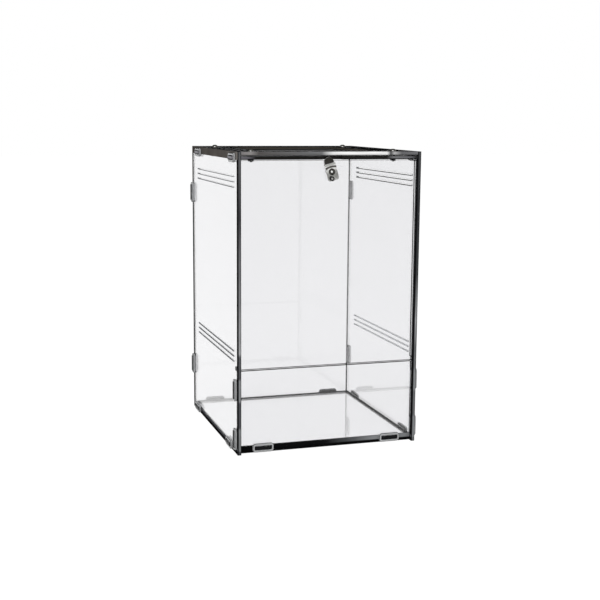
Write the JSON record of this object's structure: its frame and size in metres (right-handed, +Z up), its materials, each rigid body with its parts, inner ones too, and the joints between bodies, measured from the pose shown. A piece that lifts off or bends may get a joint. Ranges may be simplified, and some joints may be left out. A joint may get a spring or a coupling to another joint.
{
  "type": "reptile terrarium",
  "caption": "Clear flat-pack reptile terrarium: slotted acrylic panels held by clip rings, a drop-front door with a turn latch, and a mesh window clamped in the lid.",
  "frame": {"origin": "middle of the footprint, on the table under the side panels' bottom edges", "axes": "+X to the right seen from the door side, +Y from the door to the back panel, +Z up"},
  "size_m": [0.1968, 0.2076, 0.3022],
  "materials": {
    "clear_acrylic": "polished clear sheet",
    "clear_clip": "moulded, translucent",
    "mesh_steel": "fine stainless mesh",
    "bright_steel": "bright zinc",
    "black_steel": "blackened",
    "nickel_plate": "polished nickel"
  },
  "bodies": {
    "box": {"left_panel": "clear_acrylic", "right_panel": "clear_acrylic", "back_panel": "clear_acrylic", "lower_front_panel": "clear_acrylic", "base_panel": "clear_acrylic", "lid_panel": "clear_acrylic", "clamp_frame": "clear_acrylic", "vent_mesh": "mesh_steel", "lid_screws": "bright_steel", "lid_nuts": "black_steel", "base_rings_left": "clear_clip", "base_rings_right": "clear_clip", "base_rings_front": "clear_clip", "base_rings_back": "clear_clip", "front_rings_left": "clear_clip", "front_rings_right": "clear_clip", "back_rings_left": "clear_clip", "back_rings_right": "clear_clip", "lid_rings_left": "clear_clip", "lid_rings_right": "clear_clip"},
    "door": {"door_panel": "clear_acrylic", "latch_screw": "bright_steel", "latch_spacer": "bright_steel", "latch_nut": "bright_steel"},
    "latch": {"latch_arm": "nickel_plate", "latch_stud": "nickel_plate"}
  },
  "joints": [
    {"name": "door_hinge", "type": "hinge", "parent": "box", "child": "door", "pos_m": [0, -0.09575, 0.0873], "axis": [1, 0, 0], "range_deg": [0, 112]},
    {"name": "latch_turn", "type": "hinge", "parent": "door", "child": "latch", "pos_m": [0.001, -0.0985, 0.2804], "axis": [0, 1, 0], "range_deg": [-75, 105]}
  ]
}
